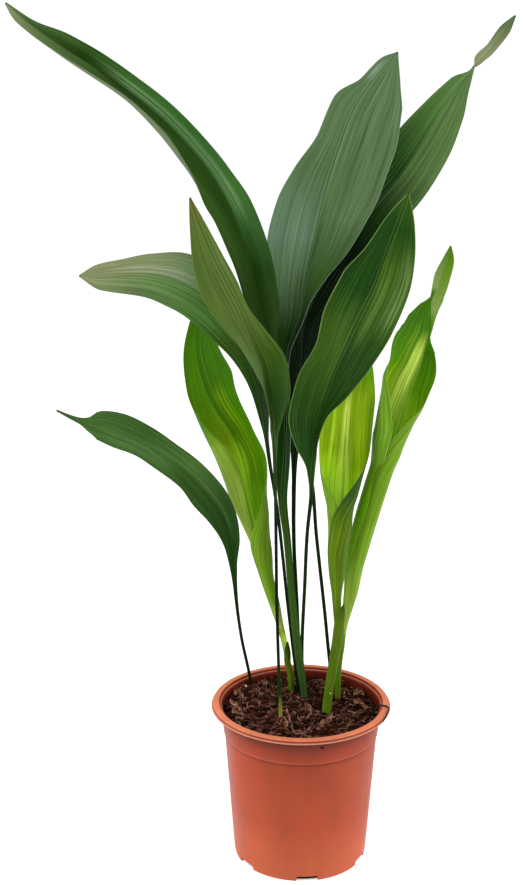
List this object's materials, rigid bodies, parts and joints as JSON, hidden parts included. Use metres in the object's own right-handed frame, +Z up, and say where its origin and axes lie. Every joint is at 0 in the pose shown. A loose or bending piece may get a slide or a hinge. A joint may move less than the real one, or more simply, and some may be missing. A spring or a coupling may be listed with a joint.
{
  "type": "potted cast iron plant",
  "caption": "Potted cast iron plant: tall arching and half-furled lance-shaped leaves on thin stalks, in a terracotta plastic nursery pot.",
  "frame": {"origin": "middle of the pot's underside, on the plane it stands on", "axes": "+Z up; -Y is the side that the plant is seen from, with the tall arching leaf to -X"},
  "size_m": [0.4452, 0.2352, 0.7857],
  "materials": {
    "pot": "moulded terracotta-coloured plastic, satin",
    "soil": "dark crumbly compost",
    "rhizome": "pale brown, fibrous",
    "leaf_arching_left": "dark green leaf, satin",
    "leaf_tall_broad": "grey-green leaf, satin sheen",
    "leaf_twisted_tip": "mid green leaf, satin",
    "leaf_front_right": "mid green leaf, satin",
    "leaf_front_left": "olive green leaf, satin",
    "leaf_level_left": "green leaf, satin",
    "leaf_low_left": "dark green leaf, satin",
    "leaf_young_left": "light green young leaf, satin",
    "leaf_young_right": "light green young leaf, satin",
    "leaf_young_centre": "yellow-green young leaf, satin",
    "sheath_young_left": "thin brown-green leaf sheath, dull",
    "sheath_young_right": "thin brown-green leaf sheath, dull"
  },
  "bodies": {
    "root": {"pot": "pot", "potting_soil": "soil", "rhizome": "rhizome", "leaf_arching_left": "leaf_arching_left", "leaf_tall_broad": "leaf_tall_broad", "leaf_twisted_tip": "leaf_twisted_tip", "leaf_front_right": "leaf_front_right", "leaf_front_left": "leaf_front_left", "leaf_level_left": "leaf_level_left", "leaf_low_left": "leaf_low_left", "leaf_young_left": "leaf_young_left", "leaf_young_right": "leaf_young_right", "leaf_young_centre": "leaf_young_centre", "sheath_young_left": "sheath_young_left", "sheath_young_right": "sheath_young_right"}
  },
  "joints": []
}
